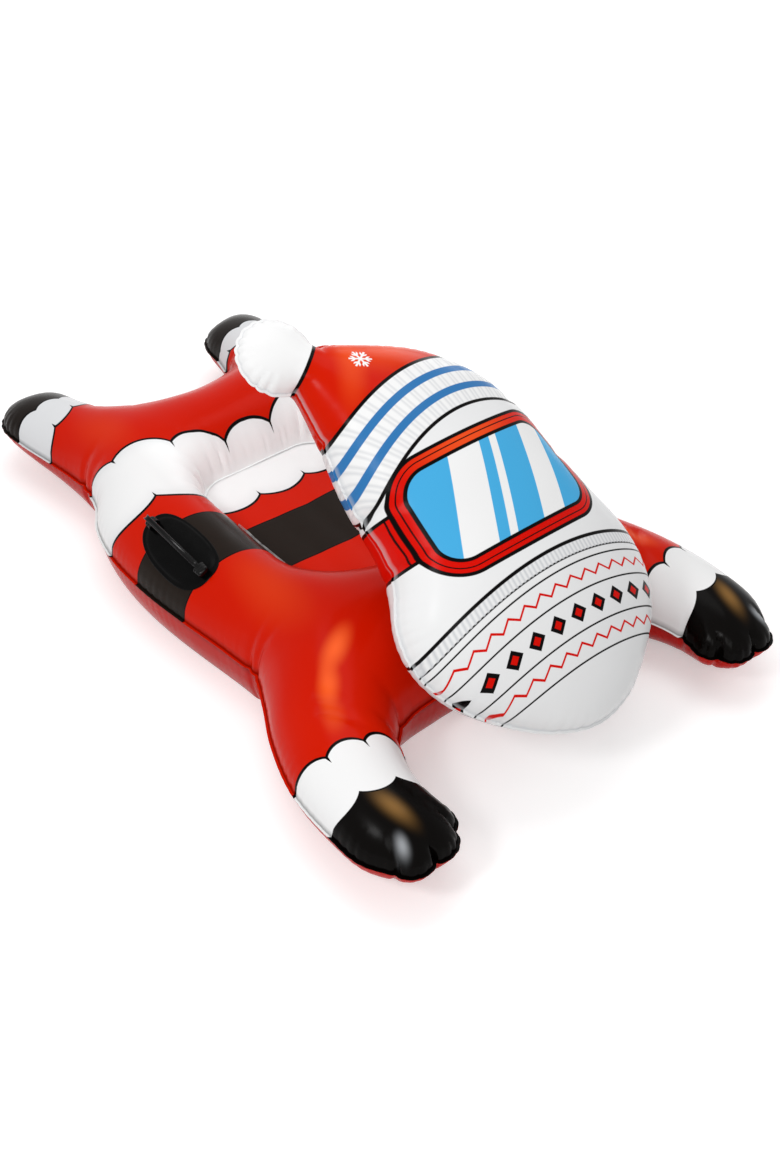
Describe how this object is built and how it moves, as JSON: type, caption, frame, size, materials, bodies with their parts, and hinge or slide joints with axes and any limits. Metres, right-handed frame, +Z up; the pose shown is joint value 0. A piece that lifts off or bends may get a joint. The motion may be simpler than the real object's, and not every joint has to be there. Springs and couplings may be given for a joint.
{
  "type": "inflatable snow sled",
  "caption": "Inflatable snow sled for one prone rider: welded ring hull with arms and legs, sunk deck, tilted head pillow, folding side grips and plugged air valves.",
  "frame": {"origin": "on the ground under the middle of the sled's box", "axes": "+Z up, -Y towards the head pillow, +Y towards the legs, +X to the prone rider's left"},
  "size_m": [0.8562, 1.3897, 0.5921],
  "materials": {
    "hull_film": "glossy printed vinyl film",
    "floor_film": "glossy vinyl film",
    "deck_film": "semi-gloss printed vinyl film",
    "head_film": "glossy printed vinyl film",
    "web_film": "plain vinyl film",
    "patch_film": "plain vinyl film",
    "handle_vinyl": "glossy moulded vinyl",
    "valve_vinyl": "soft moulded vinyl"
  },
  "bodies": {
    "sled": {"deck_panel": "deck_film", "floor_web_1": "web_film", "floor_web_2": "web_film", "floor_web_3": "web_film", "floor_web_4": "web_film", "grip_socket_left_front": "handle_vinyl", "grip_socket_left_rear": "handle_vinyl", "grip_socket_right_front": "handle_vinyl", "grip_socket_right_rear": "handle_vinyl", "handle_pad_left": "handle_vinyl", "handle_pad_right": "handle_vinyl", "head_back_sheet": "head_film", "head_front_sheet": "head_film", "head_valve_body": "valve_vinyl", "hull_bottom_sheet": "floor_film", "hull_top_sheet": "hull_film", "hull_valve_body": "valve_vinyl", "neck_patch": "patch_film"},
    "grip_right": {"grip_right": "handle_vinyl"},
    "grip_left": {"grip_left": "handle_vinyl"},
    "hull_plug": {"hull_valve_plug": "valve_vinyl"},
    "head_plug": {"head_valve_plug": "valve_vinyl"},
    "hull_flap": {"hull_valve_flap": "valve_vinyl"},
    "head_flap": {"head_valve_flap": "valve_vinyl"}
  },
  "joints": [
    {"name": "grip_right_fold", "type": "hinge", "parent": "sled", "child": "grip_right", "pos_m": [-0.29424, 0.03243, 0.17669], "axis": [0, 0.9991, 0.0432], "range_deg": [-70, 70], "stiffness_Nm_per_rad": 0.08},
    {"name": "grip_left_fold", "type": "hinge", "parent": "sled", "child": "grip_left", "pos_m": [0.29424, 0.03244, 0.17666], "axis": [0, 0.9991, 0.0427], "range_deg": [-70, 70], "stiffness_Nm_per_rad": 0.08},
    {"name": "hull_plug_swing", "type": "hinge", "parent": "sled", "child": "hull_plug", "pos_m": [0.24899, -0.29, 0.19793], "axis": [0, -1, 0], "range_deg": [0, 120]},
    {"name": "hull_flap_open", "type": "hinge", "parent": "sled", "child": "hull_flap", "pos_m": [0.25379, -0.29, 0.17833], "axis": [0, 1, 0], "range_deg": [0, 50], "stiffness_Nm_per_rad": 0.0005, "springref_deg": -5.73},
    {"name": "head_plug_swing", "type": "hinge", "parent": "sled", "child": "head_plug", "pos_m": [0.007, -0.16902, 0.35801], "axis": [0, 0.7986, 0.6018], "range_deg": [0, 120]},
    {"name": "head_flap_open", "type": "hinge", "parent": "sled", "child": "head_flap", "pos_m": [0.0118, -0.18082, 0.37366], "axis": [0, -0.7986, -0.6018], "range_deg": [0, 50], "stiffness_Nm_per_rad": 0.0005, "springref_deg": -5.73}
  ]
}
